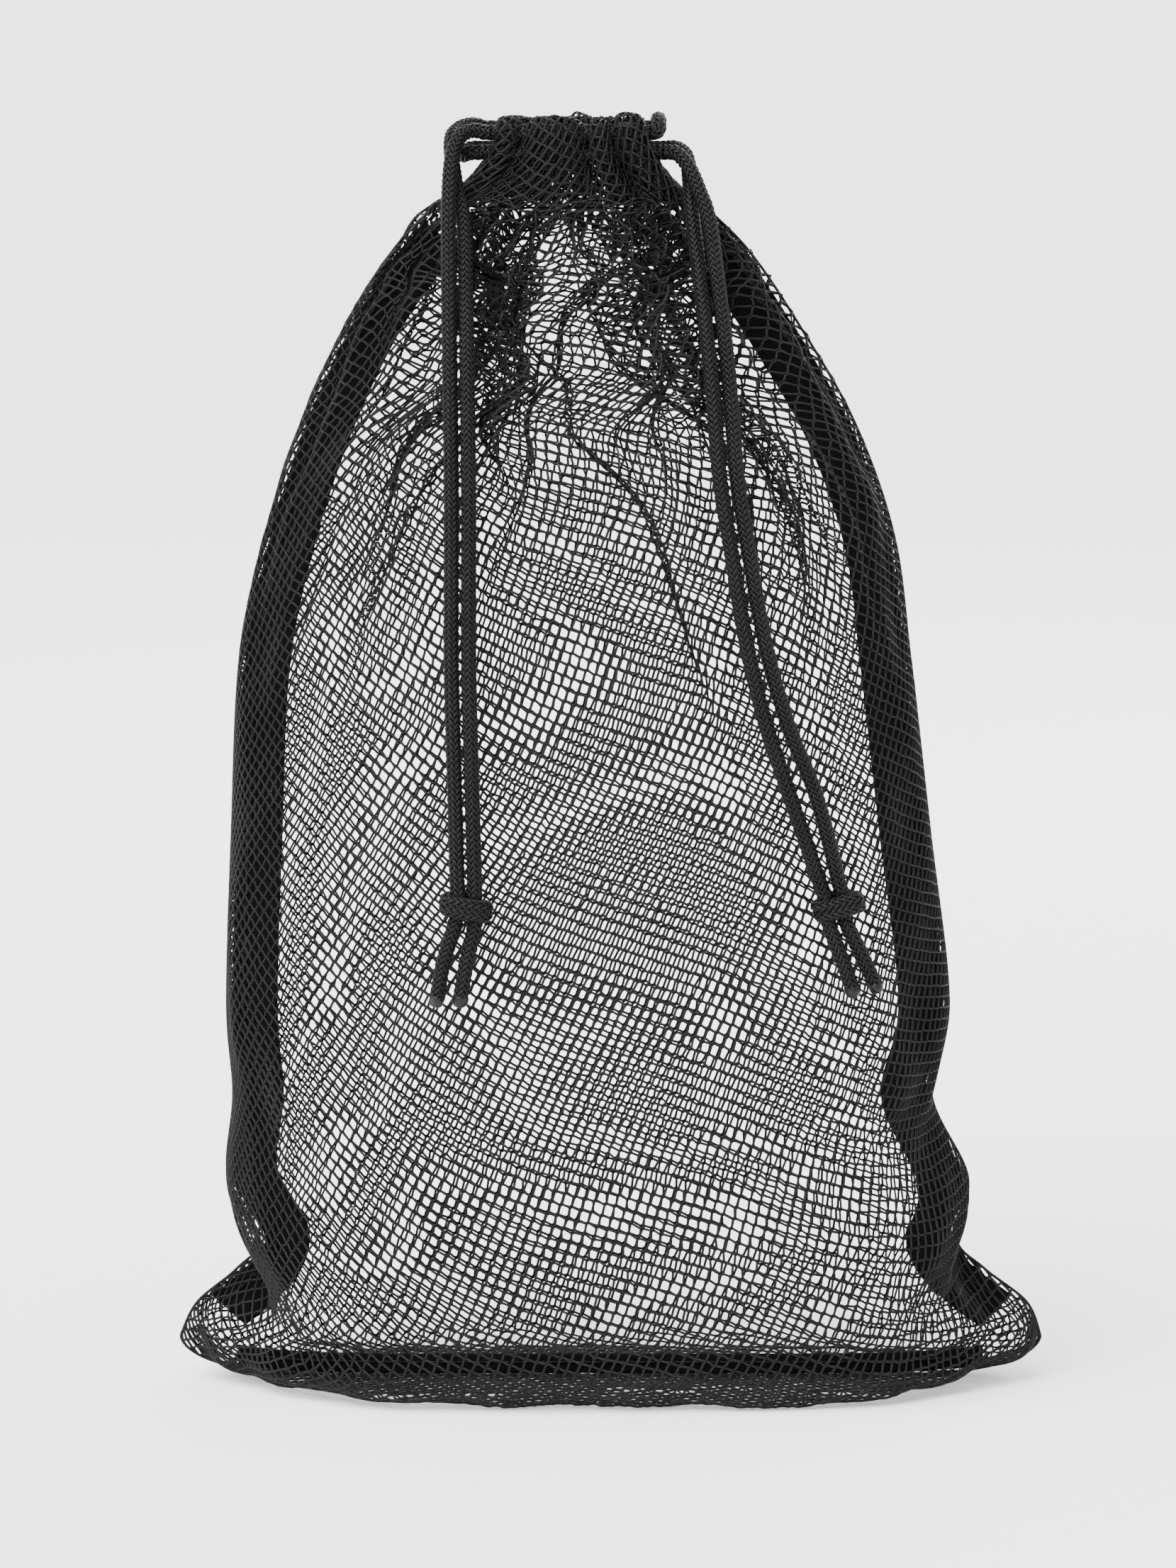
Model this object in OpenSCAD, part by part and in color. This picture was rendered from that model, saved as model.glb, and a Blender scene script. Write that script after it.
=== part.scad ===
// Drawstring net ball bag, standing filled on its base with its mouth drawn nearly shut.
// Two net panels are seamed at the sides and along the bottom. Each top edge is folded into a
// casing, and two braided cords run through both casings and hang as knotted loops at the sides.
// Origin: middle of the base, on the ground. +Z up, -Y the front.

/* [Bag] */
// Thickness of the knitted net
net_t = 1.2; // [0.8:0.1:2]
// Front and back depth of the filled belly, from the seams
belly_depth = 74; // [60:1:80]
// Width of the woven tapes that bind the side seams
side_tape_w = 16; // [10:1:18]
// Height of the bound allowance along the bottom seam
bottom_tape_h = 7; // [6:1:12]
// Thickness of the woven tapes
tape_t = 1.4; // [1:0.1:2]

/* [Casing] */
// Half of the gathered casing's width
gather_half = 27; // [25:0.5:29]
// Height of the casing
casing_h = 32; // [30:1:34]
// Distance from the middle of the mouth to a casing's middle
mouth_half = 16; // [15:0.5:18]
// How far each casing's ends lie behind its middle
casing_bow = 7; // [5:0.5:8]
// Number of pleats across each casing
pleats = 7; // [5:1:9]
// Depth of a pleat
pleat_d = 1.2; // [0:0.1:1.5]

/* [Cord] */
// Diameter of the braided cords
cord_d = 5.5; // [4.5:0.1:5.6]
// Length of a knot
knot_l = 19; // [17:0.5:20]
// Diameter of a knot
knot_d = 12; // [11:0.5:12.5]
// Length of a sealed cord end
tip_l = 3; // [2:0.5:4]
// Diameter of the stitching thread
thread_d = 1; // [0.6:0.1:1.2]

/* [Hidden] */
// Each station is [height of the seam, left seam, right seam, height of the panel's middle,
// depth of the panel's middle as a share of the belly's, how square the section is], from the
// bottom seam to the neck.
stations = [
    [15, -152, 152, 0, 0, 7],
    [27, -146, 147, 0, 0.4, 6.5],
    [39, -132, 132, 0.5, 0.71, 6],
    [50, -124, 122, 9, 0.86, 5],
    [72, -135, 126, 35, 0.93, 4],
    [102, -133, 113, 75, 0.98, 3],
    [134, -135, 119, 118, 1, 2.6],
    [196, -133, 112, 190, 0.99, 2.4],
    [256, -130, 105, 262, 0.9, 2.3],
    [300, -121, 99, 310, 0.79, 2.3],
    [340, -108, 85, 350, 0.66, 2.2],
    [375, -92, 65, 385, 0.51, 2.2],
    [400, -76, 48, 405, 0.38, 2.2],
    [416, -61, 32, 416, 0.3, 2.2]
];
last = len(stations) - 1;
section_power = 0.55;
rows_per_station = 3;
columns = 28;
neck_z = stations[last][0];
neck_x = -14;
casing_z = neck_z + 0.5;
casing_end_a = 82;
casing_steps = 42;
// Turn of the casing's cross-section from its middle to its ends, and how far its foot lies
// inside the panel's face.
end_turn = 20;
foot_inset = 1.4;
// Casing walls as [share of the height, half thickness], then the cord tunnel inside them.
wall = [[0, 1.2], [0.25, 2.2], [0.5, 4.4], [0.75, 4.9], [0.93, 3.7], [1, 1.2]];
tunnel = [[0.1, 0.3], [0.3, 1], [0.48, 3.3], [0.73, 3.7], [0.88, 2.9], [0.95, 0.6]];
// Share of the casing's height at which each cord runs.
left_run_h = 0.8;
right_run_h = 0.58;
run_steps = 6;
knot_turns = 3;
cord_sides = 10;
thread_sides = 6;
seam_inset = 1.8;
tape_start = 1.3;
tape_end = 12.6;
bottom_end_a = 60;
gap = 0.1;

// How far from the mouth's middle each cord's runs reach, and where they come out as [depth, height].
left_run_reach = 27.6;
right_run_reach = 32;
left_exit = [9, 442];
right_exit = [8.2, 435];

// Routes of the hanging strands, from the casing's end to the knot.
left_front_route = [[-43.8, -9, 442], [-48.2, -9.9, 442.8], [-52.5, -13, 440.6],
    [-55.2, -18.3, 433.5], [-56.2, -25.5, 420], [-56.2, -32, 405], [-56, -41, 382], [-55.5, -51, 355],
    [-55, -61, 315], [-55, -70, 265], [-54, -75.5, 225], [-53, -79, 187.8]];
left_back_route = [[-43.8, 9, 442], [-48.2, 7.5, 443.2], [-53.4, 2, 442], [-55.6, -7.2, 437.9],
    [-53.8, -17, 424.5], [-50.8, -26, 411], [-50, -41, 382], [-49.5, -52.5, 355], [-49, -62.5, 315],
    [-49, -71.5, 265], [-48, -77, 225], [-47, -79, 187.8]];
right_front_route = [[19.6, -8.2, 435], [22.8, -9.8, 434.8], [26.7, -13.8, 430.8], [30.4, -18.6, 422.8],
    [34.2, -24.3, 410.9], [39, -38.6, 375], [41.5, -49, 350], [43.5, -56.5, 326], [48, -63, 298],
    [53, -67, 271], [60.5, -69, 244], [71, -67, 217], [79, -64, 186]];
right_back_route = [[19.6, 8.2, 435], [22.8, 6.2, 435.2], [26.4, -0.5, 432.5], [27.3, -8.8, 425.3],
    [28.2, -19.6, 412.8], [33, -40.3, 375], [35.5, -51, 350], [37.5, -58.5, 326], [42, -65, 298],
    [46.5, -69, 271], [53, -71, 244], [62, -69.5, 217], [73, -65, 184.5]];
// Bends where each cord turns back from one casing into the other, past the mouth's side.
right_bend = [[15.4, -9, 442], [16.1, -8.8, 442.4], [16.5, -8, 443.3], [16.5, -6.5, 444.4], [16.5, -3.8, 445.4],
    [16.5, 0, 445.8], [16.5, 3.8, 445.4], [16.5, 6.5, 444.4], [16.5, 8, 443.3], [16.1, 8.8, 442.4], [15.4, 9, 442]];
left_bend = [[-47.3, -8.2, 435], [-48.8, -7.9, 434.9], [-50.4, -6.2, 434.3], [-51.2, -3.3, 433.7],
    [-51.4, 0, 433.5], [-51.2, 3.3, 433.7], [-50.4, 6.2, 434.3], [-48.8, 7.9, 434.9], [-47.3, 8.2, 435]];
left_knot_at = [-50, -79, 181];
right_knot_at = [78.5, -64, 179];
// Tails, from the knot to the sealed end.
left_front_tail_route = [[-54, -79, 174.5], [-58, -79.5, 161], [-60, -80, 149]];
left_back_tail_route = [[-47, -79, 174.5], [-50, -80, 161], [-52, -80.5, 149]];
right_front_tail_route = [[81.5, -64, 172.5], [87, -64, 161], [91.5, -63.5, 151]];
right_back_tail_route = [[76, -65.5, 170.5], [80, -66, 160], [83.5, -66, 150]];

function unit(p) = p / max(norm(p), 1e-9);
function flip(points) = [for (p = points) [p[0], -p[1], p[2]]];

// A smooth curve through the stations: v counts them from 0 at the bottom seam.
function station(v) =
    let (i = min(floor(v), last - 1), t = v - i,
         a = stations[max(i - 1, 0)], b = stations[i],
         c = stations[i + 1], d = stations[min(i + 2, last)])
    0.5 * (2 * b + (c - a) * t + (2 * a - 5 * b + 4 * c - d) * t * t
           + (3 * b - a - 3 * c + d) * t * t * t);

// A point of the front cloth: a runs from -90 at the left seam to 90 at the right one.
function cloth(v, a) =
    let (q = station(v), s = sin(a), f = pow(max(0, 1 - pow(abs(s), q[5])), section_power))
    [(q[1] + q[2]) / 2 + s * (q[2] - q[1]) / 2, -q[4] * belly_depth * f, max(0, q[0] + (q[3] - q[0]) * f)];

// The cloth's other face, one thickness inside it.
function lining(v, a) =
    let (s = sin(a), p = cloth(v, a), dv = 0.15, da = 1.5,
         across = cloth(v, min(a + da, 90)) - cloth(v, max(a - da, -90)),
         up = cloth(min(v + dv, last), a) - cloth(max(v - dv, 0), a),
         rim = abs(s) > 0.9999 || v == 0,
         way = rim ? unit([-sign(s) * pow(abs(s), 8), 0, max(0, 1 - v)]) : -unit(cross(across, up)),
         q = p + net_t * way)
    rim ? [q[0], 0, q[2]] : [q[0], min(q[1], -gap), v == last ? p[2] : q[2]];

// A closed solid through equal rings of points, with its two ends capped as strips.
module loft(rings) {
    m = len(rings[0]);
    n = len(rings);
    sides = [for (i = [0:n - 2], j = [0:m - 1]) let (k = (j + 1) % m)
        each [[i * m + j, i * m + k, (i + 1) * m + k], [i * m + j, (i + 1) * m + k, (i + 1) * m + j]]];
    first_cap = [for (j = [0:m / 2 - 2])
        each [[j, m - 1 - j, m - 2 - j], [j, m - 2 - j, j + 1]]];
    cap_base = (n - 1) * m;
    last_cap = [for (j = [0:m / 2 - 2])
        each [[cap_base + j, cap_base + m - 2 - j, cap_base + m - 1 - j],
              [cap_base + j, cap_base + j + 1, cap_base + m - 2 - j]]];
    polyhedron([for (r = rings) each r], concat(sides, first_cap, last_cap));
}

// A closed solid through rings that run out along one wall and back along the other.
module wrapped(rings) {
    m = len(rings[0]);
    n = len(rings);
    polyhedron([for (r = rings) each r],
        [for (i = [0:n - 1], j = [0:m - 1]) let (k = (j + 1) % m, u = (i + 1) % n)
            each [[i * m + j, i * m + k, u * m + k], [i * m + j, u * m + k, u * m + j]]]);
}

// A round cord through the points of a route, with an even number of sides.
module tube(route, d, sides) {
    n = len(route);
    dirs = [for (i = [0:n - 1]) unit(route[min(i + 1, n - 1)] - route[max(i - 1, 0)])];
    side = [for (t = dirs) unit(cross(abs(t[2]) < 0.9 ? [0, 0, 1] : [1, 0, 0], t))];
    // Each ring's first direction is the last one's, turned as little as possible.
    function carry(i) = i == 0 ? side[0] : let (s = carry(i - 1)) unit(s - (s * dirs[i]) * dirs[i]);
    loft([for (i = [0:n - 1]) let (s = carry(i), w = cross(dirs[i], s))
        [for (j = [0:sides - 1]) let (a = -360 * j / sides)
            route[i] + d / 2 * (cos(a) * s + sin(a) * w)]]);
}

module net_panel() {
    loft([for (i = [0:last * rows_per_station]) let (v = i / rows_per_station)
        concat([for (j = [0:columns]) cloth(v, -90 + 180 * j / columns)],
               [for (j = [columns:-1:0]) lining(v, -90 + 180 * j / columns)])]);
}

// A point of the side seam's line, moved in by an inset. side is -1 on the left and 1 on the right.
function seam_point(v, side, inset) =
    let (p = cloth(v, side * 90), span = 1,
         t = unit(cloth(min(v + span, last), side * 90) - cloth(max(v - span, 0), side * 90)))
    [p[0] - side * t[2] * inset, 0, p[2] + side * t[0] * inset];

function tape_levels() = [for (i = [0:34]) tape_start + (tape_end - tape_start) * i / 34];

module side_tape(side) {
    loft([for (v = tape_levels())
        let (a = seam_point(v, side, seam_inset), b = seam_point(v, side, seam_inset + side_tape_w),
             y = side * tape_t / 2)
        [[a[0], -y, a[2]], [b[0], -y, b[2]], [b[0], y, b[2]], [a[0], y, a[2]]]]);
}

module side_stitching(side) {
    y = -tape_t / 2 - thread_d / 2 - gap;
    tube([for (v = tape_levels()) let (p = seam_point(v, side, seam_inset + 4)) [p[0], y, p[2]]],
        thread_d, thread_sides);
}

module bottom_seam_tape() {
    loft([for (a = [-bottom_end_a:5:bottom_end_a])
        let (z = cloth(0, a)[2] + net_t + gap, x = cloth(0, a)[0], y = tape_t / 2)
        [[x, y, z], [x, y, z + bottom_tape_h], [x, -y, z + bottom_tape_h], [x, -y, z]]]);
}

module bottom_seam_stitching() {
    y = -tape_t / 2 - thread_d / 2 - gap;
    tube([for (a = [-bottom_end_a + 2:4:bottom_end_a - 2])
        let (p = cloth(0, a)) [p[0], y, p[2] + net_t + 0.6 * bottom_tape_h]], thread_d, thread_sides);
}

// A point of the front casing: t runs from -1 to 1 across it, h from 0 to 1 up it, and out is the
// distance from its middle surface.
function casing_point(t, h, out) =
    let (foot = cloth(last, casing_end_a * t),
         top = [neck_x + gather_half * t, -(mouth_half - casing_bow * t * t), 0],
         e = 1 - pow(1 - h, 2))
    [foot[0] + (top[0] - foot[0]) * e + sin(end_turn * t) * out,
     foot[1] + (top[1] - foot[1]) * e + (1 - e) * foot_inset - cos(end_turn * t) * out,
     casing_z + casing_h * h * (1 + 0.03 * cos(180 * pleats * t))];

function pleat(t) = pleat_d * (1 + cos(180 * pleats * t)) / 2;

module casing() {
    ts = [for (i = [0:casing_steps]) -1 + 2 * i / casing_steps];
    outer = [for (t = ts) concat(
        [for (w = wall) casing_point(t, w[0], w[1] + pleat(t) * w[0])],
        [for (k = [len(wall) - 1:-1:0]) casing_point(t, wall[k][0], -wall[k][1])])];
    inner = [for (i = [casing_steps:-1:0]) let (t = ts[i]) concat(
        [for (w = tunnel) casing_point(t, w[0], w[1])],
        [for (k = [len(tunnel) - 1:-1:0]) casing_point(t, tunnel[k][0], -tunnel[k][1])])];
    wrapped(concat(outer, inner));
}

module casing_stitching() {
    tube([for (i = [0:24]) let (t = -0.96 + 1.92 * i / 24) casing_point(t, 0.06, 1.9 + thread_d / 2)],
        thread_d, thread_sides);
}

// A cord's run through the front casing, with its straight ends.
module run(h, reach, exit) {
    tube(concat([[neck_x - reach, -exit[0], exit[1]]],
        [for (i = [0:run_steps]) casing_point(-0.97 + 1.94 * i / run_steps, h, 0)],
        [[neck_x + reach, -exit[0], exit[1]]]), cord_d, cord_sides);
}

module left_run() { run(left_run_h, left_run_reach, left_exit); }
module right_run() { run(right_run_h, right_run_reach, right_exit); }

// An overhand knot drawn tight: a barrel with the bulge of each turn of the cord round it.
module knot(place, tilt) {
    steps = 24;
    groove = 1.4;
    function radius(u) = knot_d / 2 - groove * (1 - abs(sin(180 * knot_turns * u)));
    translate(place) rotate([0, 90 + tilt, 0]) rotate_extrude($fn = 48)
        polygon(concat([[0, -knot_l / 2]],
            [for (i = [0:steps]) let (u = i / steps)
                [radius(u) * min(1, 0.55 + 5 * min(u, 1 - u)), knot_l * (u - 0.5)]],
            [[0, knot_l / 2]]));
}

// The sealed end that follows the last piece of a tail.
module tip(route) {
    n = len(route);
    way = unit(route[n - 1] - route[n - 2]);
    end = route[n - 1];
    tube([end, end + 0.6 * tip_l * way], cord_d, cord_sides);
    tube([end + 0.6 * tip_l * way, end + tip_l * way], 0.8 * cord_d, cord_sides);
}

module front_net_panel() { color("#26272a") net_panel(); }
module back_net_panel() { color("#26272a") mirror([0, 1, 0]) net_panel(); }
module left_side_tape() { color("#121214") side_tape(-1); }
module right_side_tape() { color("#121214") side_tape(1); }
module left_side_stitching() { color("#2e2f32") side_stitching(-1); }
module right_side_stitching() { color("#2e2f32") side_stitching(1); }
module front_casing() { color("#1e1f22") casing(); }
module back_casing() { color("#1e1f22") mirror([0, 1, 0]) casing(); }
module front_casing_stitching() { color("#2e2f32") casing_stitching(); }
module back_casing_stitching() { color("#2e2f32") mirror([0, 1, 0]) casing_stitching(); }
module left_cord_front_run() { color("#202124") left_run(); }
module left_cord_back_run() { color("#202124") mirror([0, 1, 0]) left_run(); }
module left_cord_bend() { color("#202124") tube(right_bend, cord_d, cord_sides); }
module right_cord_front_run() { color("#202124") right_run(); }
module right_cord_back_run() { color("#202124") mirror([0, 1, 0]) right_run(); }
module right_cord_bend() { color("#202124") tube(left_bend, cord_d, cord_sides); }
module left_cord_front_strand() { color("#202124") tube(left_front_route, cord_d, cord_sides); }
module left_cord_back_strand() { color("#202124") tube(left_back_route, cord_d, cord_sides); }
module right_cord_front_strand() { color("#202124") tube(right_front_route, cord_d, cord_sides); }
module right_cord_back_strand() { color("#202124") tube(right_back_route, cord_d, cord_sides); }
module left_knot() { color("#1c1d20") knot(left_knot_at, 5); }
module right_knot() { color("#1c1d20") knot(right_knot_at, -20); }
module left_cord_front_tail() { color("#202124") tube(left_front_tail_route, cord_d, cord_sides); }
module left_cord_back_tail() { color("#202124") tube(left_back_tail_route, cord_d, cord_sides); }
module right_cord_front_tail() { color("#202124") tube(right_front_tail_route, cord_d, cord_sides); }
module right_cord_back_tail() { color("#202124") tube(right_back_tail_route, cord_d, cord_sides); }
module left_cord_front_tip() { color("#3c3d40") tip(left_front_tail_route); }
module left_cord_back_tip() { color("#3c3d40") tip(left_back_tail_route); }
module right_cord_front_tip() { color("#3c3d40") tip(right_front_tail_route); }
module right_cord_back_tip() { color("#3c3d40") tip(right_back_tail_route); }

front_net_panel();
back_net_panel();
left_side_tape();
right_side_tape();
left_side_stitching();
right_side_stitching();
bottom_seam_tape();
bottom_seam_stitching();
front_casing();
back_casing();
front_casing_stitching();
back_casing_stitching();
left_cord_front_run();
left_cord_back_run();
left_cord_bend();
right_cord_front_run();
right_cord_back_run();
right_cord_bend();
left_cord_front_strand();
left_cord_back_strand();
right_cord_front_strand();
right_cord_back_strand();
left_knot();
right_knot();
left_cord_front_tail();
left_cord_back_tail();
right_cord_front_tail();
right_cord_back_tail();
left_cord_front_tip();
left_cord_back_tip();
right_cord_front_tip();
right_cord_back_tip();
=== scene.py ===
import bpy
import math
import numpy as np
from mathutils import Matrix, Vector


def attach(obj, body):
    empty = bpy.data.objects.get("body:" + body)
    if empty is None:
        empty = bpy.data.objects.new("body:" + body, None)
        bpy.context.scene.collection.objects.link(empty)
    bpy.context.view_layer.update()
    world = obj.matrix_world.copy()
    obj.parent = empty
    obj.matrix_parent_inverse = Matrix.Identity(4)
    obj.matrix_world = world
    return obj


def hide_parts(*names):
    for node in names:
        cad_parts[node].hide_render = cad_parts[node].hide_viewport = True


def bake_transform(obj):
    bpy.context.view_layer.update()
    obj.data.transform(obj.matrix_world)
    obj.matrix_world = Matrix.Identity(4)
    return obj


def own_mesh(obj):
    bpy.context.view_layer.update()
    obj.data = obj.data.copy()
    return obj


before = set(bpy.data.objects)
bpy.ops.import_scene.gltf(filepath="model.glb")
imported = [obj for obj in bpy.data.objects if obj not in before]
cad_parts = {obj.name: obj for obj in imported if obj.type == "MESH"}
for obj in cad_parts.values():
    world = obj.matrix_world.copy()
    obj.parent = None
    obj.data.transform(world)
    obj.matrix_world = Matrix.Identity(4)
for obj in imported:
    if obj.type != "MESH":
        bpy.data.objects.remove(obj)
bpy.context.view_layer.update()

# Lengths are in millimetres here, as in the part's own source, and become metres in the meshes.
mm = 0.001


# Camera, light and floor

cameraSetup = {
    "target": (-8.0, -20.0, 215.0),
    "rise": 8.5,  # degrees above the horizon
    "distance": 3802.0,
    "lens": 250.0,
}


def lookAt(thing, target):
    way = Vector(target) - thing.location
    thing.rotation_euler = way.to_track_quat("-Z", "Y").to_euler()


def addCamera():
    rise = math.radians(cameraSetup["rise"])
    target = Vector(cameraSetup["target"]) * mm
    camera = bpy.data.objects.new("camera", bpy.data.cameras.new("camera"))
    bpy.context.scene.collection.objects.link(camera)
    camera.data.lens = cameraSetup["lens"]
    camera.location = target + Vector((0, -math.cos(rise), math.sin(rise))) * cameraSetup["distance"] * mm
    lookAt(camera, target)
    bpy.context.scene.camera = camera


lampSetup = {
    "key": {"place": (-0.9, -1.6, 1.4), "aim": (0, 0, 0.2), "size": 1.1, "power": 34},
    "back": {"place": (0.5, 1.6, 1.3), "aim": (0, 0, 0.2), "size": 1.2, "power": 26},
}
daylight = {
    "strength": 6.8,
    "spread": 60,
    "from": (-0.5, -0.55, 1.0),
    "surround": 2.0,
    "colour": (0.95, 0.95, 0.95, 1),
}
floorSetup = {"radius": 40, "corners": 96, "below": 0.0004, "colour": (0.92, 0.92, 0.92, 1), "rough": 0.9}


def addLamps():
    for name, lamp in lampSetup.items():
        light = bpy.data.objects.new(name, bpy.data.lights.new(name, "AREA"))
        bpy.context.scene.collection.objects.link(light)
        light.data.size = lamp["size"]
        light.data.energy = lamp["power"]
        light.location = lamp["place"]
        lookAt(light, lamp["aim"])
    soft = bpy.data.objects.new("daylight", bpy.data.lights.new("daylight", "SUN"))
    bpy.context.scene.collection.objects.link(soft)
    soft.data.energy = daylight["strength"]
    soft.data.angle = math.radians(daylight["spread"])
    soft.location = daylight["from"]
    lookAt(soft, (0, 0, 0))
    world = bpy.data.worlds.new("studio")
    bpy.context.scene.world = world
    world.use_nodes = True
    surround = world.node_tree.nodes["Background"]
    surround.inputs["Color"].default_value = daylight["colour"]
    surround.inputs["Strength"].default_value = daylight["surround"]


def addFloor():
    bpy.ops.mesh.primitive_circle_add(vertices=floorSetup["corners"], radius=floorSetup["radius"],
                                      fill_type="NGON", location=(0, 0, -floorSetup["below"]))
    floor = bpy.context.object
    floor.name = "studio_floor"
    paint = bpy.data.materials.new("floor_paint")
    paint.use_nodes = True
    shader = paint.node_tree.nodes["Principled BSDF"]
    shader.inputs["Base Color"].default_value = floorSetup["colour"]
    shader.inputs["Roughness"].default_value = floorSetup["rough"]
    floor.data.materials.append(paint)


addCamera()
addLamps()
addFloor()
print("camera, light and floor ready")


# Finishes

finishes = {
    "netThread": {"dark": 0.003, "light": 0.009, "grain": 900, "rough": 0.5, "shine": 0.11, "bump": 0.3},
    "tapeWeave": {"dark": 0.0015, "light": 0.004, "grain": 1400, "rough": 0.8, "shine": 0.06, "bump": 0.3},
    "sewingThread": {"dark": 0.003, "light": 0.008, "grain": 1600, "rough": 0.5, "shine": 0.15, "bump": 0.25},
    "cordYarn": {"dark": 0.0012, "light": 0.006, "grain": 1100, "rough": 0.42, "shine": 0.11, "bump": 0.4},
    "sealedCord": {"dark": 0.002, "light": 0.008, "grain": 420, "rough": 0.3, "shine": 0.18, "bump": 0.2},
}


# Every finish is fine fibres over broad patches.
grainPlan = {
    "tint": (1.0, 1.0, 1.06),
    "detail": 3,
    "broken": 0.6,
    "patches": 55,
    "patchDetail": 2,
    "fibreShare": 0.65,
    "patchShare": 0.35,
    "darkAt": 0.3,
    "lightAt": 0.7,
    "smoother": 0.1,
    "rougher": 0.12,
    "relief": 0.0002,
}


def makeFinish(name):
    setting, tint = finishes[name], grainPlan["tint"]
    finish = bpy.data.materials.new(name)
    finish.use_nodes = True
    nodes, links = finish.node_tree.nodes, finish.node_tree.links
    shader = nodes["Principled BSDF"]
    place = nodes.new("ShaderNodeTexCoord")
    fibres = nodes.new("ShaderNodeTexNoise")
    fibres.inputs["Scale"].default_value = setting["grain"]
    fibres.inputs["Detail"].default_value = grainPlan["detail"]
    fibres.inputs["Roughness"].default_value = grainPlan["broken"]
    links.new(place.outputs["Object"], fibres.inputs["Vector"])
    patches = nodes.new("ShaderNodeTexNoise")
    patches.inputs["Scale"].default_value = grainPlan["patches"]
    patches.inputs["Detail"].default_value = grainPlan["patchDetail"]
    links.new(place.outputs["Object"], patches.inputs["Vector"])
    mixed = nodes.new("ShaderNodeMath")
    mixed.operation = "MULTIPLY_ADD"
    mixed.inputs[1].default_value = grainPlan["fibreShare"]
    links.new(fibres.outputs["Fac"], mixed.inputs[0])
    scaled = nodes.new("ShaderNodeMath")
    scaled.operation = "MULTIPLY"
    scaled.inputs[1].default_value = grainPlan["patchShare"]
    links.new(patches.outputs["Fac"], scaled.inputs[0])
    links.new(scaled.outputs[0], mixed.inputs[2])
    colours = nodes.new("ShaderNodeValToRGB")
    colours.color_ramp.elements[0].position = grainPlan["darkAt"]
    colours.color_ramp.elements[1].position = grainPlan["lightAt"]
    colours.color_ramp.elements[0].color = [setting["dark"] * c for c in tint] + [1]
    colours.color_ramp.elements[1].color = [setting["light"] * c for c in tint] + [1]
    links.new(mixed.outputs[0], colours.inputs["Fac"])
    links.new(colours.outputs["Color"], shader.inputs["Base Color"])
    gloss = nodes.new("ShaderNodeMapRange")
    gloss.inputs["To Min"].default_value = setting["rough"] - grainPlan["smoother"]
    gloss.inputs["To Max"].default_value = setting["rough"] + grainPlan["rougher"]
    links.new(fibres.outputs["Fac"], gloss.inputs["Value"])
    links.new(gloss.outputs["Result"], shader.inputs["Roughness"])
    relief = nodes.new("ShaderNodeBump")
    relief.inputs["Strength"].default_value = setting["bump"]
    relief.inputs["Distance"].default_value = grainPlan["relief"]
    links.new(fibres.outputs["Fac"], relief.inputs["Height"])
    links.new(relief.outputs["Normal"], shader.inputs["Normal"])
    shader.inputs["Specular IOR Level"].default_value = setting["shine"]
    return finish


finishOf = {name: makeFinish(name) for name in finishes}
print("finishes ready")


# Mesh making

def makePiece(name, points, quads, caps, finish, slot):
    mesh = bpy.data.meshes.new(name)
    mesh.vertices.add(len(points))
    mesh.vertices.foreach_set("co", (points * mm).astype(np.float32).ravel())
    corners = np.concatenate([quads.ravel(), caps.ravel()]).astype(np.int32)
    sizes = np.concatenate([np.full(len(quads), 4), np.full(len(caps), caps.shape[1])])
    mesh.loops.add(len(corners))
    mesh.loops.foreach_set("vertex_index", corners)
    mesh.polygons.add(len(sizes))
    mesh.polygons.foreach_set("loop_start", np.concatenate([[0], np.cumsum(sizes)[:-1]]).astype(np.int32))
    mesh.update(calc_edges=True)
    mesh.polygons.foreach_set("use_smooth", np.ones(len(sizes), bool))
    mesh.materials.append(finishOf[finish])
    piece = bpy.data.objects.new(name, mesh)
    bpy.context.scene.collection.objects.link(piece)
    return piece


def smooth(x):
    x = np.clip(x, 0, 1)
    return x * x * (3 - 2 * x)


def unit(rows):
    return rows / np.maximum(np.linalg.norm(rows, axis=-1, keepdims=True), 1e-12)


def directions(line):
    return unit(np.gradient(line, axis=0))


def reachAlong(line):
    return np.concatenate([[0], np.cumsum(np.linalg.norm(np.diff(line, axis=0), axis=1))])


def reachUp(grid):
    return np.concatenate([[0], np.cumsum(np.linalg.norm(np.diff(grid, axis=0), axis=2).mean(1))])


def bandQuads(rows, count, base=0):
    step = np.arange(count)
    after = (step + 1) % count
    row = base + count * np.arange(rows - 1)[:, None]
    return np.stack([row + step, row + after, row + count + after, row + count + step], -1).reshape(-1, 4)


def tubeRings(line, outward, wide, thick, sides):
    along = directions(line)
    across = unit(np.cross(along, outward))
    up = np.cross(across, along)
    turn = 2 * np.pi * np.arange(sides) / sides
    return (line[:, None] + wide * np.cos(turn)[None, :, None] * across[:, None]
            + thick * np.sin(turn)[None, :, None] * up[:, None])


def tubes(lines, outwards, wide, thick, sides):
    points, quads, caps = [], [], []
    base = 0
    step = np.arange(sides)
    for line, outward in zip(lines, outwards):
        n = len(line)
        points.append(tubeRings(line, outward, wide, thick, sides).reshape(-1, 3))
        quads.append(bandQuads(n, sides, base))
        caps.append(base + step[::-1])
        caps.append(base + sides * (n - 1) + step)
        base += n * sides
    return np.concatenate(points), np.concatenate(quads), np.array(caps)


def joinTubes(sets):
    points, quads, caps = [], [], []
    base = 0
    for p, f, c in sets:
        points.append(p)
        quads.append(f + base)
        caps.append(c + base)
        base += len(p)
    return np.concatenate(points), np.concatenate(quads), np.concatenate(caps)


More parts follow.
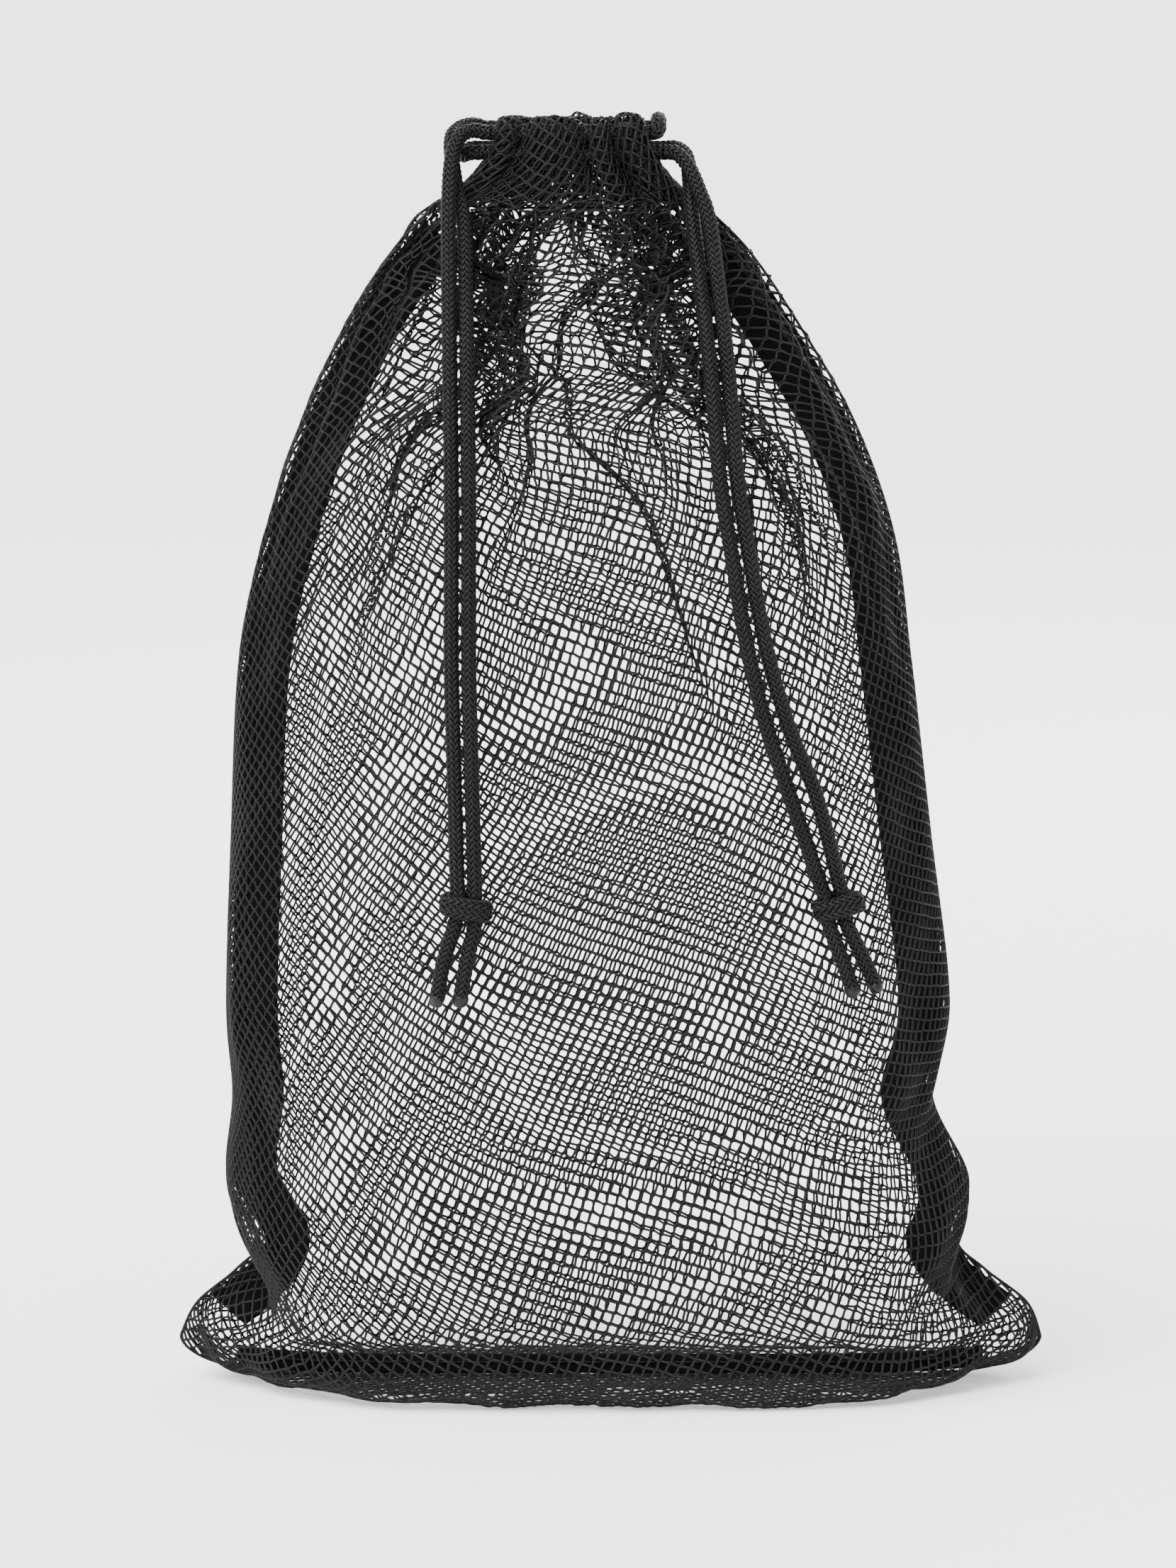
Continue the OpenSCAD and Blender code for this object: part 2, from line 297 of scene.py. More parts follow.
def smoothLine(route, spacing):
    route = np.array(route, float)
    n = len(route)
    parts = []
    for i in range(n - 1):
        a, b, c, d = route[max(i - 1, 0)], route[i], route[i + 1], route[min(i + 2, n - 1)]
        t = np.linspace(0, 1, 24, endpoint=False)[:, None]
        parts.append(0.5 * (2 * b + (c - a) * t + (2 * a - 5 * b + 4 * c - d) * t ** 2
                            + (3 * b - a - 3 * c + d) * t ** 3))
    line = np.concatenate(parts + [route[-1:]])
    reach = reachAlong(line)
    even = np.linspace(0, reach[-1], max(2, int(round(reach[-1] / spacing)) + 1))
    return np.stack([np.interp(even, reach, line[:, k]) for k in range(3)], 1)


def carriedSides(line):
    along = directions(line)
    side = np.zeros_like(line)
    first = np.cross([0, 0, 1] if abs(along[0][2]) < 0.9 else [1, 0, 0], along[0])
    side[0] = first / np.linalg.norm(first)
    for i in range(1, len(line)):
        turned = side[i - 1] - along[i] * (side[i - 1] @ along[i])
        side[i] = turned / np.linalg.norm(turned)
    return side, np.cross(along, side)


# Cords: sixteen yarns braided over two and under two, round a plain core

braidPlan = {
    "pitch": 17.5,  # one turn of a yarn
    "radius": 2.05,  # middle of the yarns
    "wave": 0.38,  # how far a yarn rises and dips
    "yarnWide": 0.62,
    "yarnThick": 0.42,
    "yarnsEachWay": 8,
    "sides": 6,
    "pointsPerPitch": 28,
    "core": 1.55,
}


def braidLines(line, squeeze=1.0):
    side, other = carriedSides(line)
    reach = reachAlong(line)
    phase = 2 * np.pi * reach / braidPlan["pitch"]
    count = braidPlan["yarnsEachWay"]
    q = count * phase / np.pi
    lines, outwards = [], []
    for k in range(count):
        for way in (1, -1):
            angle = 2 * np.pi * k / count + way * phase
            if way > 0:
                lift = np.cos(np.pi / 2 * (q + 2 * k) - np.pi / 4)
            else:
                lift = -np.cos(np.pi / 2 * (2 * k - q) - np.pi / 4)
            outward = np.cos(angle)[:, None] * side + np.sin(angle)[:, None] * other
            radius = squeeze * (braidPlan["radius"] + braidPlan["wave"] * lift)
            lines.append(line + radius[:, None] * outward)
            outwards.append(outward)
    return lines, outwards


def braidedCord(name, routes, squeeze=1.0):
    made = []
    core, sides = braidPlan["core"] * squeeze, braidPlan["sides"]
    for line in routes:
        lines, outwards = braidLines(line, squeeze)
        made.append(tubes(lines, outwards, braidPlan["yarnWide"] * squeeze, braidPlan["yarnThick"], sides))
        made.append(tubes([line], [carriedSides(line)[0]], core, core, sides))
    return makePiece(name, *joinTubes(made), "cordYarn", "cord")


cordRoutes = {
    "left_cord_front_strand": [
        [-41.6, -9, 442], [-43.8, -9, 442], [-48.2, -9.9, 442.8], [-52.5, -13, 440.6],
        [-55.2, -18.3, 433.5], [-56.2, -25.5, 420], [-56.2, -32, 405], [-56, -41, 382], [-55.5, -51, 355],
        [-55, -61, 315], [-55, -70, 265], [-54, -75.5, 225], [-53, -79, 187.8], [-52.6, -79, 184.5]],
    "left_cord_back_strand": [
        [-41.6, 9, 442], [-43.8, 9, 442], [-48.2, 7.5, 443.2], [-53.4, 2, 442], [-55.6, -7.2, 437.9],
        [-53.8, -17, 424.5], [-50.8, -26, 411], [-50, -41, 382], [-49.5, -52.5, 355], [-49, -62.5, 315],
        [-49, -71.5, 265], [-48, -77, 225], [-47, -79, 187.8], [-47, -79, 184.5]],
    "right_cord_front_strand": [
        [18, -8.2, 435], [19.6, -8.2, 435], [22.8, -9.8, 434.8], [26.7, -13.8, 430.8], [30.4, -18.6, 422.8],
        [34.2, -24.3, 410.9], [39, -38.6, 375], [41.5, -49, 350], [43.5, -56.5, 326], [48, -63, 298],
        [53, -67, 271], [60.5, -69, 244], [71, -67, 217], [79, -64, 186], [79.8, -64, 183]],
    "right_cord_back_strand": [
        [18, 8.2, 435], [19.6, 8.2, 435], [22.8, 6.2, 435.2], [26.4, -0.5, 432.5], [27.3, -8.8, 425.3],
        [28.2, -19.6, 412.8], [33, -40.3, 375], [35.5, -51, 350], [37.5, -58.5, 326], [42, -65, 298],
        [46.5, -69, 271], [53, -71, 244], [62, -69.5, 217], [73, -65, 184.5], [74, -65, 181.5]],
}

tailRoutes = {
    "left_cord_front_tail": [[-52.6, -79, 180], [-54, -79, 174.5], [-58, -79.5, 161], [-60, -80, 149]],
    "left_cord_back_tail": [[-47, -79, 180], [-47, -79, 174.5], [-50, -80, 161], [-52, -80.5, 149]],
    "right_cord_front_tail": [[79.5, -64, 178], [81.5, -64, 172.5], [87, -64, 161], [91.5, -63.5, 151]],
    "right_cord_back_tail": [[74.5, -65, 176], [76, -65.5, 170.5], [80, -66, 160], [83.5, -66, 150]],
}

bendRoutes = {
    "left_cord_bend": [
        [13.8, -9, 442], [15.4, -9, 442], [16.1, -8.8, 442.4], [16.5, -8, 443.3], [16.5, -6.5, 444.4],
        [16.5, -3.8, 445.4], [16.5, 0, 445.8], [16.5, 3.8, 445.4], [16.5, 6.5, 444.4], [16.5, 8, 443.3],
        [16.1, 8.8, 442.4], [15.4, 9, 442], [13.8, 9, 442]],
    "right_cord_bend": [
        [-45.8, -8.2, 435], [-47.3, -8.2, 435], [-48.8, -7.9, 434.9], [-50.4, -6.2, 434.3],
        [-51.2, -3.3, 433.7], [-51.4, 0, 433.5], [-51.2, 3.3, 433.7], [-50.4, 6.2, 434.3],
        [-48.8, 7.9, 434.9], [-47.3, 8.2, 435], [-45.8, 8.2, 435]],
}

knotPlan = {
    "left_knot": {"place": (-50, -79, 181), "tilt": 5,
                  "over": ("left_cord_front_strand", "left_cord_back_strand"),
                  "under": ("left_cord_front_tail", "left_cord_back_tail")},
    "right_knot": {"place": (78.5, -64, 179), "tilt": -20,
                   "over": ("right_cord_front_strand", "right_cord_back_strand"),
                   "under": ("right_cord_front_tail", "right_cord_back_tail")},
}
# A knot's turns wind round its own two strands, with the ends of the turns tucked in.
wrapPlan = {
    "wide": 7.0,
    "deep": 3.5,
    "turns": 2.1,
    "start": 0.25,  # in half turns
    "rise": 5.6,
    "squeeze": 0.94,
    "tucked": 0.35,
    "tuckOver": 0.09,
    "points": 120,
    "step": 0.62,
}


def knotWraps(plan):
    t = np.linspace(0, 1, wrapPlan["points"])
    angle = 2 * np.pi * (wrapPlan["turns"] * t) + wrapPlan["start"] * np.pi
    tuck = smooth(np.minimum(t, 1 - t) / wrapPlan["tuckOver"])
    tuck = wrapPlan["tucked"] + (1 - wrapPlan["tucked"]) * tuck
    x = wrapPlan["wide"] * np.cos(angle) * tuck
    y = wrapPlan["deep"] * np.sin(angle) * tuck
    z = wrapPlan["rise"] * wrapPlan["turns"] * (0.5 - t) * 0.5
    tilt = math.radians(plan["tilt"])
    turned = np.stack([x * math.cos(tilt) + z * math.sin(tilt), y,
                       z * math.cos(tilt) - x * math.sin(tilt)], 1)
    return smoothLine(turned + np.array(plan["place"], float), wrapPlan["step"])


braidStep = braidPlan["pitch"] / braidPlan["pointsPerPitch"]
cordPieces = {}
cordLines = {}
for name, route in {**cordRoutes, **tailRoutes}.items():
    cordLines[name] = smoothLine(route, braidStep)
    cordPieces[name] = braidedCord(name + "_braid", [cordLines[name]])
for name, route in bendRoutes.items():
    cordPieces[name] = braidedCord(name + "_braid", [smoothLine(route, braidStep)])
    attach(cordPieces[name], "bag")
    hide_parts(name)
for name, plan in knotPlan.items():
    through = []
    for over, under in zip(plan["over"], plan["under"]):
        above, below = cordLines[over], cordLines[under]
        through.append(smoothLine([above[-6], above[-1], below[0], below[5]], braidStep))
    cordPieces[name] = braidedCord(name + "_braid", [knotWraps(plan)] + through, wrapPlan["squeeze"])
print("braids ready")


# Sealed cord ends: a short drawn-in cap of melted yarn, with lumps left by the flame

sealPlan = {
    "long": 3.0,
    "radius": 2.75,
    "rings": 12,
    "sides": 20,
    "start": -0.35,  # it begins this share of its length back along the cord
    "tip": 0.05,
    "lump": 0.03,
    "lumps": 3,
    "swell": 0.06,
}


def sealedEnd(name, line, seed):
    random = np.random.default_rng(seed)
    way = unit(line[-1] - line[-4])
    side, other = [sides[-1] for sides in carriedSides(line)]
    t = np.linspace(sealPlan["start"], 1, sealPlan["rings"])
    count = sealPlan["sides"]
    turn = 2 * np.pi * np.arange(count) / count
    ring = np.cos(turn)[:, None] * side + np.sin(turn)[:, None] * other
    bulge, shift = sealPlan["lump"] * random.standard_normal((2, sealPlan["lumps"]))
    points = []
    for share in t:
        neck = max(sealPlan["tip"], 1 - max(0, share) ** 4) ** 0.5
        lumps = sum(bulge[k] * np.cos((k + 2) * turn + 6 * shift[k] + 2 * share) for k in range(len(bulge)))
        swell = 1 - sealPlan["swell"] + sealPlan["swell"] * np.cos(3 * share)
        radius = sealPlan["radius"] * neck * (1 + lumps) * swell
        points.append(line[-1] + way * sealPlan["long"] * share + radius[:, None] * ring)
    points = np.concatenate(points)
    step = np.arange(count)
    caps = np.array([step[::-1], count * (len(t) - 1) + step])
    return makePiece(name, points, bandQuads(len(t), count), caps, "sealedCord", "sealed_end")


def hangCord(side):
    knot = cordPieces[side + "_knot"]
    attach(knot, side + "_cord_end")
    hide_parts(side + "_knot")
    for index, face in enumerate(("front", "back")):
        tail = side + "_cord_" + face + "_tail"
        tip = side + "_cord_" + face + "_tip"
        end = sealedEnd(tip + "_seal", cordLines[tail], 3 + index)
        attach(cordPieces[tail], side + "_cord_end")
        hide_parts(tail)
        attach(end, side + "_cord_end")
        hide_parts(tip)
        strand = side + "_cord_" + face + "_strand"
        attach(cordPieces[strand], side + "_cord")
        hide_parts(strand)
        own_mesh(cordPieces[strand])


hangCord("left")
hangCord("right")


# The cloth's shape, from the part's own measurements. A row is
# [height at the seams, left edge, right edge, height in the middle, fullness, how square it is].

shapeRows = np.array([
    [15, -152, 152, 0, 0, 7], [27, -146, 147, 0, 0.4, 6.5], [39, -132, 132, 0.5, 0.71, 6],
    [50, -124, 122, 9, 0.86, 5], [72, -135, 126, 35, 0.93, 4], [102, -133, 113, 75, 0.98, 3],
    [134, -135, 119, 118, 1, 2.6], [196, -133, 112, 190, 0.99, 2.4], [256, -130, 105, 262, 0.9, 2.3],
    [300, -121, 99, 310, 0.79, 2.3], [340, -108, 85, 350, 0.66, 2.2], [375, -92, 65, 385, 0.51, 2.2],
    [400, -76, 48, 405, 0.38, 2.2], [416, -61, 32, 416, 0.3, 2.2]])
lastRow = len(shapeRows) - 1
bagShape = {
    "belly": 74,
    "power": 0.55,
    "tapeInset": 1.8,
    "tapeWide": 16,
    "tapeThick": 1.4,
    "tapeStart": 1.3,
    "tapeEnd": 12.6,
    "bottomTape": 7,
    "bottomEnd": 60,
    "bottomUp": 1.3,
}


def shapeAt(v):
    v = np.atleast_1d(np.asarray(v, float))
    i = np.clip(np.floor(v), 0, lastRow - 1).astype(int)
    t = (v - i)[:, None]
    a, b = shapeRows[np.maximum(i - 1, 0)], shapeRows[i]
    c, d = shapeRows[i + 1], shapeRows[np.minimum(i + 2, lastRow)]
    return 0.5 * (2 * b + (c - a) * t + (2 * a - 5 * b + 4 * c - d) * t ** 2
                  + (3 * b - a - 3 * c + d) * t ** 3)


def cloth(v, a):
    q = shapeAt(v)
    s = np.sin(np.radians(a))
    full = np.maximum(0, 1 - np.abs(s) ** q[:, 5]) ** bagShape["power"]
    return np.stack([(q[:, 1] + q[:, 2]) / 2 + s * (q[:, 2] - q[:, 1]) / 2,
                     -q[:, 4] * bagShape["belly"] * full,
                     np.maximum(0, q[:, 0] + (q[:, 3] - q[:, 0]) * full)], 1)


# Net: half of the flat cloth's width, and the folds that gather it at the neck

netPlan = {
    "halfWide": 165.0,
    "course": 2.69,  # half a mesh along and across the pillars
    "joint": 0.55,  # half the length of a joint
    "apart": 0.3,  # half the distance between two pillars at a joint
    "thread": 0.46,
    "edge": 0.5,
    "slant": 18.0,
    "uneven": 0.16,  # how far a joint strays from its place
    "rows": 300,
    "columns": 440,
    "hem": 14,  # degrees over which folds die away at the side seams
    "foot": 0.8,  # rows over which they die away at the bottom
}
foldPlan = {"wide": 6.6, "take": 1.9, "deep": 6.5, "growth": 0.7, "diveGrowth": 0.6, "wander": 12,
            "diveStart": 1.1, "diveEnd": 4.2, "diveBack": 3.1}
creasePlan = {"wander": 2.0, "fadeIn": 0.35, "past": 1.15, "fadeOut": 0.3}
# Soft swells all over: [length of one, height].
swellPlan = {"sizes": [[70, 1.3], [42, 0.8], [24, 0.45]], "each": 3, "even": 1.7, "share": 0.8,
             "rowTall": 34}
# Rucks in the two bottom corners
ruckPlan = {"from": 95, "over": 50, "below": 4.2, "fade": 2.5, "fineLong": 5.2, "fineHigh": 1.4,
            "broadLong": 9, "broadHigh": 1.8}
# Soft folds that fan out from the neck, strongest at two places across it
wavePlan = {"deep": 3.4, "start": 7.2, "early": 1.4, "bands": [-26, 37], "bandWide": 13, "least": 0.5,
            "edge": 35, "close": 0.42, "bend": 2.5, "bendLong": 23}
# The pillars wander a little over the cloth: [how far, over what length, where it starts].
driftPlan = {"sideways": [[11, 95, 0.6], [4, 31, 0]], "upward": [[14, 80, -0.9], [3, 27, 0]]}
# A fold is a knife pleat: [place across the neck from -1 to 1, strength, the row where it has opened out].
frontFolds = [[-0.93, 0.7, 8.5], [-0.77, 0.8, 9.2], [-0.6, 1.15, 7.8], [-0.47, 0.8, 9.4], [-0.34, 1.1, 8.2],
              [-0.22, 0.8, 9.3], [0.0, 0.7, 10.2], [0.21, 1.1, 8.4], [0.38, 1.0, 8.9], [0.5, 1.1, 8.0],
              [0.63, 0.9, 9.0], [0.85, 0.8, 8.4]]
backFolds = [[-0.9, 0.9, 8.9], [-0.74, 0.9, 8.1], [-0.5, 1.2, 7.6], [-0.33, 0.8, 9.5], [-0.12, 1.1, 8.4],
             [0.07, 0.8, 9.4], [0.3, 1.2, 7.9], [0.47, 0.85, 9.1], [0.65, 1.0, 8.3], [0.8, 0.9, 9.5],
             [0.94, 0.8, 8.6]]
# A crease is [[place across the cloth, row], [place, row], strength, half width, depth].
frontCreases = [[[-16, 10.7], [62, 7.4], 1.5, 4.6, 3.0], [[-62, 11.5], [-27, 9.0], 1.75, 7.6, 3.0],
                [[74, 11.5], [60, 9.7], 1.7, 8.0, 3.0], [[-56, 11.4], [-92, 7.6], 1.15, 5.0, 2.6],
                [[66, 11.0], [104, 8.0], 1.0, 6.0, 2.4], [[22, 11.6], [14, 9.6], 0.5, 4.0, 1.6],
                [[104, 10.4], [118, 8.0], 0.5, 5.0, 1.8], [[-108, 10.6], [-126, 7.4], 0.45, 5.0, 1.8]]
backCreases = [[[10, 11.3], [-40, 7.9], 1.2, 4.6, 2.8], [[-58, 11.5], [-40, 9.2], 1.7, 9.0, 3.0],
               [[66, 11.5], [48, 9.4], 1.7, 9.0, 3.0], [[54, 11.2], [84, 7.9], 1.1, 5.0, 2.4],
               [[-70, 11.0], [-96, 8.2], 1.1, 4.8, 2.4], [[100, 10.2], [112, 8.4], 0.5, 5.0, 1.8]]


def foldPlaces(folds):
    hidden = foldPlan["take"] * foldPlan["wide"] * math.sqrt(math.pi) * np.array([f[1] for f in folds])
    shown = 2 * netPlan["halfWide"] - hidden.sum()
    before = np.concatenate([[0], np.cumsum(hidden)[:-1]])
    return -netPlan["halfWide"] + (np.array([f[0] for f in folds]) + 1) / 2 * shown + before + hidden / 2


def foldsAndCreases(v, across, folds, creases):
    # The rate is how fast the cloth runs across the bag; where it is below nought the cloth doubles back.
    rate = np.ones((len(v), len(across)))
    inward = np.zeros_like(rate)
    wide, start = foldPlan["wide"], foldPlan["diveStart"]
    for place, fold in zip(foldPlaces(folds), folds):
        strength, end = fold[1:]
        grown = smooth((v - end) / (lastRow - end)) ** foldPlan["growth"]
        wander = place + foldPlan["wander"] * np.sin(0.9 * v + place) * (1 - v / lastRow)
        away = across[None] - wander[:, None]
        rate -= foldPlan["take"] * (grown * strength)[:, None] * np.exp(-(away / wide) ** 2)
        # The cloth dives under at the pleat and comes back up to the face before the next one.
        dive = smooth((away + start * wide) / (2 * start * wide))
        dive = dive * smooth((foldPlan["diveEnd"] * wide - away) / (foldPlan["diveBack"] * wide))
        inward += foldPlan["deep"] * strength * (grown ** foldPlan["diveGrowth"])[:, None] * dive
    for (placeA, rowA), (placeB, rowB), strength, half, deep in creases:
        share = (v - rowB) / (rowA - rowB)
        here = placeB + (placeA - placeB) * share + creasePlan["wander"] * np.sin(3.1 * share)
        grown = smooth(share / creasePlan["fadeIn"])
        grown = grown * smooth((creasePlan["past"] - share) / creasePlan["fadeOut"])
        bell = np.exp(-((across[None] - here[:, None]) / half) ** 2) * grown[:, None]
        rate -= strength * bell
        inward += deep * bell
    return np.maximum(rate, -1.0), inward


def softSwells(rows, spots, seed):
    random = np.random.default_rng(seed)
    soft = np.zeros(len(rows))
    for size, height in swellPlan["sizes"]:
        for _ in range(swellPlan["each"]):
            way = random.uniform(0, np.pi)
            along = spots * math.cos(way) + rows * swellPlan["rowTall"] * math.sin(way)
            soft += height * np.sin(2 * np.pi * along / size + random.uniform(0, 6.28)) / swellPlan["even"]
    return swellPlan["share"] * soft


def cornerRucks(rows, spots):
    corner = np.clip((np.abs(spots) - ruckPlan["from"]) / ruckPlan["over"], 0, 1)
    low = np.clip((ruckPlan["below"] - rows) / ruckPlan["fade"], 0, 1)
    fine = np.sin(spots / ruckPlan["fineLong"] + 1.4 * rows) * ruckPlan["fineHigh"]
    broad = np.sin(spots / ruckPlan["broadLong"] - 2.1 * rows + 1) * ruckPlan["broadHigh"]
    return corner * low * (fine + broad)


def fanWaves(rows, spots, around, seed):
    start = wavePlan["start"]
    grown = smooth((rows - start) / (lastRow - wavePlan["early"] - start))
    strength = wavePlan["least"]
    for band in wavePlan["bands"]:
        strength = strength + np.exp(-((around - band) / wavePlan["bandWide"]) ** 2)
    fan = grown * strength * smooth((90 - np.abs(around)) / wavePlan["edge"])
    ray = spots * wavePlan["close"]
    ray = ray + wavePlan["bend"] * np.sin(spots / wavePlan["bendLong"] + 0.35 * rows + seed)
    return wavePlan["deep"] * fan * (np.sin(ray) + 0.5 * np.sin(1.7 * ray + 2 + 0.2 * rows))


def netSurface(folds, creases, seed):
    across = np.linspace(-netPlan["halfWide"], netPlan["halfWide"], netPlan["columns"])
    v = np.linspace(0, lastRow, netPlan["rows"])
    rate, inward = foldsAndCreases(v, across, folds, creases)
    share = np.concatenate([np.zeros((len(v), 1)), np.cumsum((rate[:, 1:] + rate[:, :-1]) / 2, axis=1)], 1)
    share /= share[:, -1:]
    fine = np.linspace(-90, 90, 241)
    angle = np.zeros_like(share)
    for i, row in enumerate(v):
        reach = reachAlong(cloth(np.full(len(fine), row), fine))
        angle[i] = np.interp(share[i] * reach[-1], reach, fine)
    rows = np.repeat(v, len(across))
    spots = np.tile(across, len(v))
    around = angle.ravel()
    place = cloth(rows, around)
    sideways = cloth(rows, np.minimum(around + 1, 90)) - cloth(rows, np.maximum(around - 1, -90))
    upward = cloth(np.minimum(rows + 0.08, lastRow), around) - cloth(np.maximum(rows - 0.08, 0), around)
    normal = unit(np.cross(sideways, upward))
    hem = np.minimum(1, (90 - np.abs(around)) / netPlan["hem"])
    foot = np.minimum(1, rows / netPlan["foot"])
    push = (inward.ravel() + softSwells(rows, spots, seed) + cornerRucks(rows, spots)
            + fanWaves(rows, spots, around, seed)) * hem * foot
    # The push goes inwards, whichever way the normal points.
    place = place - normal * push[:, None] * np.sign(normal[:, 1:2] * -1 + 1e-9)
    place = place.reshape(len(v), len(across), 3)
    place[:, :, 1] = np.minimum(place[:, :, 1], 0)
    place[:, :, 2] = np.maximum(place[:, :, 2], netPlan["thread"])
    return across, reachUp(place), place


def drifted(terms, x):
    return sum(size * np.sin(x / long + start) for size, long, start in terms)


def latticeLines(across, height, place, seed):
    random = np.random.default_rng(seed)
    course, slant = netPlan["course"], math.radians(netPlan["slant"])
    wide, tall = across[-1], height[-1]
    du, dv = math.cos(slant), math.sin(slant)
    span = wide + tall
    count = int(span / course) + 2
    jitter = netPlan["uneven"] * random.standard_normal((2 * count + 4, 2 * count + 4, 2))
    rowOf = np.interp(np.linspace(0, tall, 4 * len(height)), height, np.arange(len(height)))
    sideways = np.gradient(place, axis=1)
    upward = np.gradient(place, axis=0)
    normal = unit(np.cross(sideways, upward))
    courses = np.arange(-count, count + 1)
    lines, outwards = [], []
    for pillar in range(-count, count + 1):
        sign = np.where((courses + pillar) % 2 == 0, 1.0, -1.0)
        key = pillar + (sign > 0)
        lean = sign * (course / 2 - netPlan["apart"])
        nudge = jitter[key + count + 1, courses + count]
        ends = []
        for half in (-netPlan["joint"], netPlan["joint"]):
            p = courses * course + half + nudge[:, 0]
            q = pillar * course + lean + nudge[:, 1]
            ends.append(np.stack([p * du - q * dv, p * dv + q * du], 1))
        flat = np.stack(ends, 1).reshape(-1, 2)
        flat = flat + np.stack([drifted(driftPlan["sideways"], flat[:, 1]),
                                drifted(driftPlan["upward"], flat[:, 0])], 1)
        flat[:, 1] += tall / 2
        inside = (np.abs(flat[:, 0]) < wide) & (flat[:, 1] > 0) & (flat[:, 1] < tall)
        if inside.sum() < 3:
            continue
        first, last = np.flatnonzero(inside)[[0, -1]]
        flat = flat[max(first - 1, 0):last + 2]
        flat = np.stack([np.clip(flat[:, 0], -wide, wide), np.clip(flat[:, 1], 0, tall)], 1)
        column = (flat[:, 0] + wide) / (2 * wide) * (len(across) - 1)
        row = np.interp(flat[:, 1] / tall * (len(rowOf) - 1), np.arange(len(rowOf)), rowOf)
        lines.append(between(place, row, column))
        outwards.append(unit(between(normal, row, column)))
    return lines, outwards


def between(grid, row, column):
    i = np.clip(row.astype(int), 0, grid.shape[0] - 2)
    j = np.clip(column.astype(int), 0, grid.shape[1] - 2)
    s, t = (row - i)[:, None], (column - j)[:, None]
    return ((1 - s) * (1 - t) * grid[i, j] + (1 - s) * t * grid[i, j + 1]
            + s * (1 - t) * grid[i + 1, j] + s * t * grid[i + 1, j + 1])


def flip(points):
    return points * np.array([1.0, -1.0, 1.0])


def netPanel(side, surface, seed):
    across, height, place = surface
    thread = netPlan["thread"]
    lines, outwards = latticeLines(across, height, place, seed)
    made = [tubes(lines, outwards, thread, thread, 4)]
    edges = [place[:, 0], place[:, -1], place[0]]
    outwards = [np.tile([0.0, 1.0, 0.2], (len(e), 1)) for e in edges]
    made.append(tubes(edges, outwards, netPlan["edge"], netPlan["edge"], 4))
    points, quads, caps = joinTubes(made)
    if side == "back":
        points, quads, caps = flip(points), quads[:, ::-1], caps[:, ::-1]
    panel = makePiece(side + "_net", points, quads, caps, "netThread", "net")
    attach(panel, "bag")
    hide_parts(side + "_net_panel")
    wide = across[-1] - across[0]
    print(side, "net has", len(quads), "faces, flat cloth", round(wide), "by", round(height[-1]), "mm")


netPanel("front", netSurface(frontFolds, frontCreases, 11), 21)
netPanel("back", netSurface(backFolds, backCreases, 12), 22)


# Casings: the net's top edge turned over two cords and sewn down, gathered into lobes

casingPlan = {
    "foot": 416.5,
    "high": 32.0,
    "endAngle": 82.0,
    "neck": -14.0,
    "halfTop": 26.0,
    "mouth": 16.0,
    "bow": 7.0,
    "waist": 1.6,  # how far the ends draw in above the seam
    "endTurn": 20.0,
    "footInset": 1.4,
    # share of the way up the outer wall, over and down the inner one; height share; out from the middle
    "walls": [[0, -0.03, 1.4], [0.12, 0.2, 4.2], [0.24, 0.45, 5.6], [0.36, 0.72, 5.6], [0.45, 0.93, 4.2],
              [0.5, 1.0, 0.4], [0.55, 0.94, -3.4], [0.64, 0.75, -4.6], [0.76, 0.5, -4.3], [0.88, 0.25, -2.2],
              [1, 0.0, -1.3]],
    "wallPoints": 110,
    "rounding": 7,
    "outerUntil": 0.52,
    "backLower": 2.6,
    "lean": 0.07,
    "leanStart": {"front": 0.4, "back": 2.0},
    "fine": 900,
    "columns": 420,
    "faceRow": 30,
    "seamRow": 8,
    "seamOut": 0.5,
}
lobePlan = {"round": 0.42, "out": 8.5, "outFrom": 0.68, "inner": 0.4, "high": 6.0, "highFrom": 0.9,
            "footPinch": 0.9, "hang": 6.0, "ripple": 0.5, "rippleHigh": 0.35}
# The rest of the gathered net, in tight pleats each side of the cords. A layer is [out, where pleats start].
gatherPlan = {
    "wide": 190.0,
    "pleats": 17,
    "zigzag": 0.8,
    "layers": [[3.9, 0.0], [0.3, 0.8], [-4.0, 1.5]],
    "thread": 0.9,
    "end": 0.97,
    "rows": 60,
    "from": 0.03,
    "to": 0.9,
    # how far out it goes as it rises
    "follow": [[0, 0.35], [0.3, 0.85], [0.6, 1.0], [0.9, 0.75]],
    "least": 0.1,
}
# A lobe is [start across the casing, end, fullness].
frontLobes = [[-1.0, -0.607, 0.85], [-0.607, 0.19, 1.0], [0.19, 0.5, 0.8], [0.5, 1.0, 1.15]]
backLobes = [[-1.0, -0.5, 1.0], [-0.5, -0.12, 0.75], [-0.12, 0.3, 1.1], [0.3, 0.65, 0.8], [0.65, 1.0, 1.0]]


def casingPoint(t, h, out):
    foot = cloth(np.full(len(t), float(lastRow)), casingPlan["endAngle"] * t)
    top = np.stack([casingPlan["neck"] + casingPlan["halfTop"] * t,
                    -(casingPlan["mouth"] - casingPlan["bow"] * t * t)], 1)
    e = 1 - (1 - h) ** 2
    waist = casingPlan["waist"] * t * np.abs(t) * np.sin(np.pi * np.clip(h, 0, 1) ** 0.6) ** 0.8
    turn = np.radians(casingPlan["endTurn"] * t)
    return np.stack([foot[:, 0] + (top[:, 0] - foot[:, 0]) * e - waist + np.sin(turn) * out,
                     foot[:, 1] + (top[:, 1] - foot[:, 1]) * e + (1 - e) * casingPlan["footInset"]
                     - np.cos(turn) * out,
                     casingPlan["foot"] + casingPlan["high"] * h], 1)


